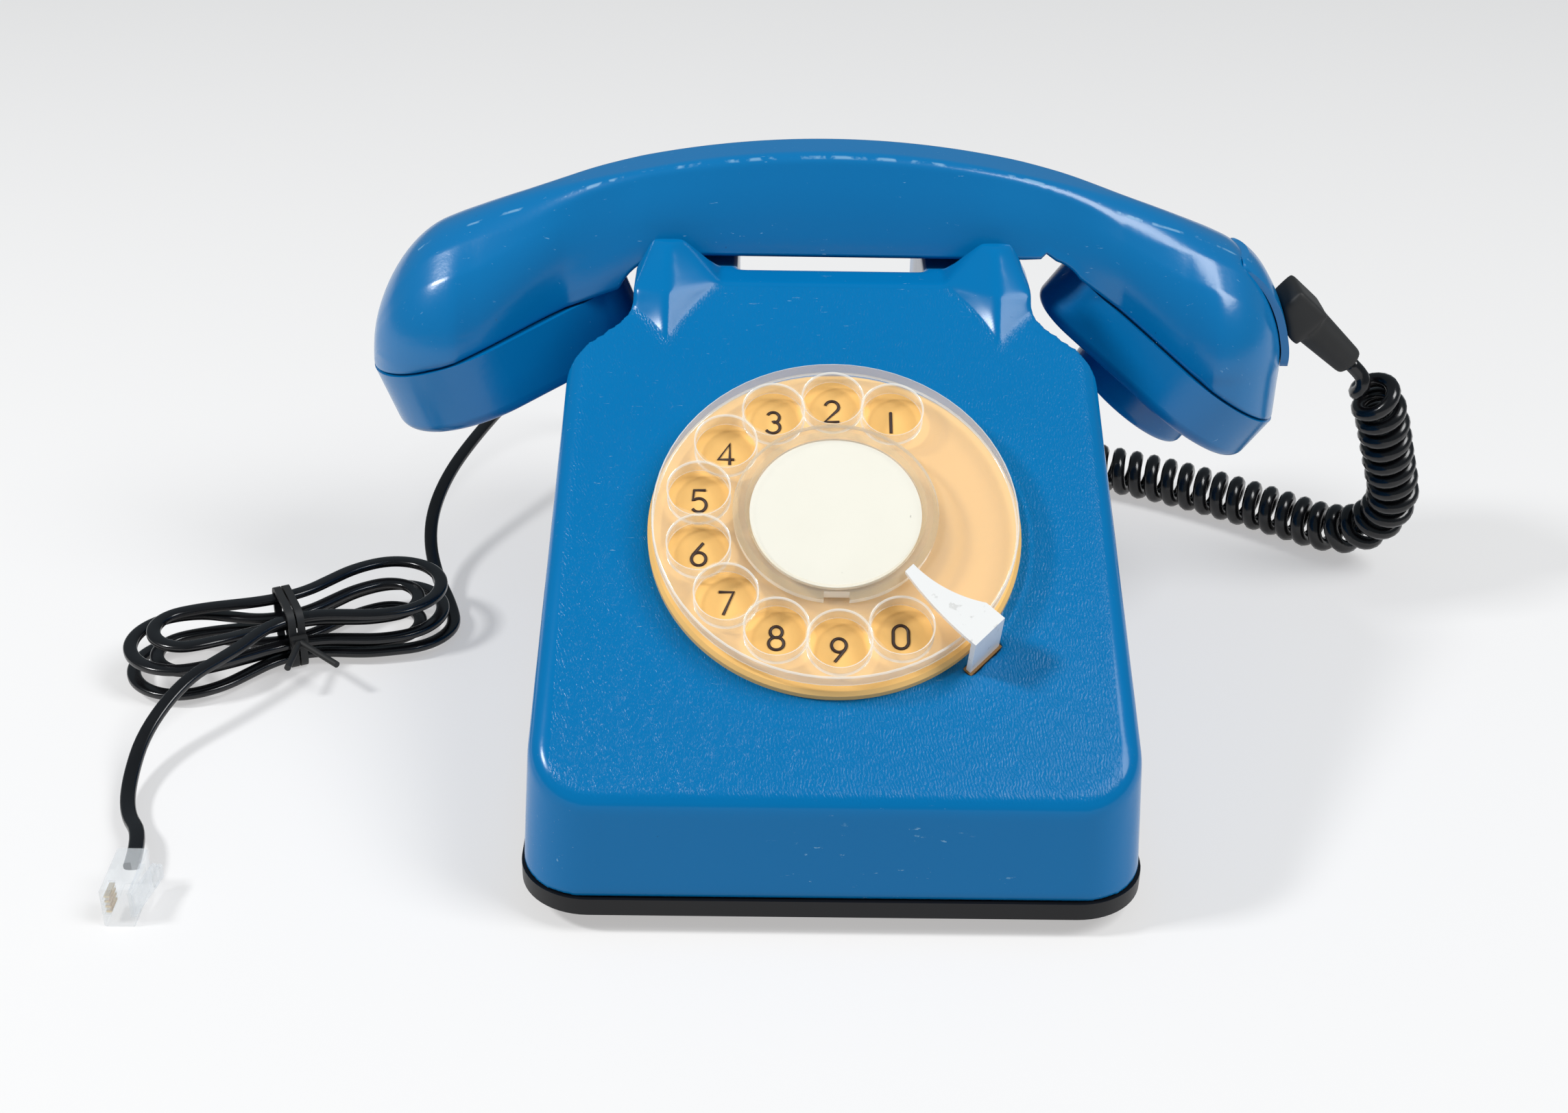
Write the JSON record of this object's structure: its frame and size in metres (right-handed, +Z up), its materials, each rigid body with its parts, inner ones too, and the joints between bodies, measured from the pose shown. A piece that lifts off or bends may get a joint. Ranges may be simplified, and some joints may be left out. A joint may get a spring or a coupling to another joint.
{
  "type": "rotary telephone",
  "caption": "Desk telephone with a wedge-shaped casing, a clear finger wheel, a lift-off handset on a curled cord and a tied line cord ending in a modular plug.",
  "frame": {"origin": "on the table under the middle of the telephone, without its cords", "axes": "+X along the handset from its ear end to its mouth end, +Y from the dial's side to the rear, +Z up"},
  "size_m": [0.3299, 0.2308, 0.1235],
  "materials": {
    "blue_shell": "glossy, finely embossed on the sloping face",
    "black_base": "satin",
    "black_rubber": "matt",
    "black_cord": "glossy",
    "number_cream": "glossy",
    "ivory_card": "matt",
    "clear_wheel": "clear, slightly yellowed",
    "clear_plug": "clear",
    "bright_metal": "polished",
    "steel": "bare",
    "brass": "bare",
    "gold_contact": "plated",
    "winding": "lacquered",
    "board_green": "satin",
    "grey_part": "satin"
  },
  "bodies": {
    "base": {"base_plate": "black_base", "rubber_feet": "black_rubber", "casing": "blue_shell", "casing_screws": "steel", "number_plate": "number_cream", "finger_stop": "bright_metal", "dial_chassis": "steel", "gear_bridge": "brass", "governor_cup": "brass", "return_spring_drum": "steel", "pulse_contact_block": "grey_part", "pulse_contacts": "steel", "lever_pivot_pin": "steel", "hook_bracket": "steel", "hook_switch_block": "grey_part", "hook_switch_blades": "brass", "ringer_frame": "steel", "ringer_coils": "winding", "gong_left": "brass", "gong_right": "brass", "gong_posts": "steel", "circuit_board": "board_green", "induction_coil": "winding", "capacitor": "grey_part", "terminal_block": "grey_part", "terminal_screws": "brass", "line_cord_gland": "black_rubber", "handset_cord_gland": "black_rubber", "handset_cord": "black_cord", "line_cord_lead": "black_cord", "line_cord_hank": "black_cord", "line_cord_tail": "black_cord", "twist_tie": "black_rubber", "plug_body": "clear_plug", "plug_contacts": "gold_contact"},
    "dial": {"finger_wheel": "clear_wheel", "centre_card": "ivory_card", "centre_cap": "clear_wheel", "dial_spindle": "steel", "main_gear": "brass"},
    "second_train": {"second_pinion": "brass", "second_gear": "brass", "pulse_cam": "grey_part", "second_arbor": "steel"},
    "governor": {"governor_pinion": "brass", "governor_shaft": "steel", "governor_weights": "brass"},
    "handset": {"handset_shell": "blue_shell", "ear_cap": "blue_shell", "mouth_cap": "blue_shell", "receiver_capsule": "steel", "transmitter_capsule": "steel", "cord_collar": "blue_shell", "strain_relief": "black_rubber"},
    "plunger_left": {"hook_plunger_left": "clear_plug"},
    "plunger_right": {"hook_plunger_right": "clear_plug"},
    "hook": {"hook_lever": "steel"},
    "striker": {"clapper": "steel"},
    "latch": {"plug_latch": "clear_plug"}
  },
  "joints": [
    {"name": "dial_spin", "type": "hinge", "parent": "base", "child": "dial", "pos_m": [0, -0.03757, 0.065], "axis": [0, 0.5, -0.866], "range_deg": [0, 335], "stiffness_Nm_per_rad": 0.02, "springref_deg": -57.3},
    {"name": "second_spin", "type": "hinge", "parent": "base", "child": "second_train", "pos_m": [-0.0264, -0.03757, 0.065], "axis": [0, 0.5, -0.866], "range_deg": [-1342, 0]},
    {"name": "governor_spin", "type": "hinge", "parent": "base", "child": "governor", "pos_m": [-0.03107, -0.04868, 0.05859], "axis": [0, 0.5, -0.866], "range_deg": [0, 4696]},
    {"name": "handset_lift", "type": "slide", "parent": "base", "child": "handset", "axis": [0, 0, 1], "range_m": [0, 0.15], "deforming": ["handset_cord"]},
    {"name": "plunger_left_slide", "type": "slide", "parent": "base", "child": "plunger_left", "axis": [0, 0, 1], "range_m": [0, 0.0046]},
    {"name": "plunger_right_slide", "type": "slide", "parent": "base", "child": "plunger_right", "axis": [0, 0, 1], "range_m": [0, 0.0046]},
    {"name": "hook_swing", "type": "hinge", "parent": "base", "child": "hook", "pos_m": [0, 0.072, 0.0586], "axis": [-1, 0, 0], "range_deg": [0, 9.15]},
    {"name": "clapper_swing", "type": "hinge", "parent": "base", "child": "striker", "pos_m": [0, 0.03, 0.02], "axis": [0, 0, 1], "range_deg": [-3, 3], "stiffness_Nm_per_rad": 0.004},
    {"name": "latch_press", "type": "hinge", "parent": "base", "child": "latch", "pos_m": [-0.14515, -0.0916, 0.0048], "axis": [0, 0, 1], "range_deg": [0, 5.5], "stiffness_Nm_per_rad": 0.02, "springref_deg": -5.73}
  ],
  "couplings": [
    {"joint": "second_spin", "follows": "dial_spin", "ratio": -4},
    {"joint": "governor_spin", "follows": "dial_spin", "ratio": 14},
    {"joint": "plunger_left_slide", "follows": "handset_lift", "ratio": 0.03},
    {"joint": "plunger_right_slide", "follows": "handset_lift", "ratio": 0.03},
    {"joint": "hook_swing", "follows": "handset_lift", "rad_per_m": 1.0533}
  ]
}
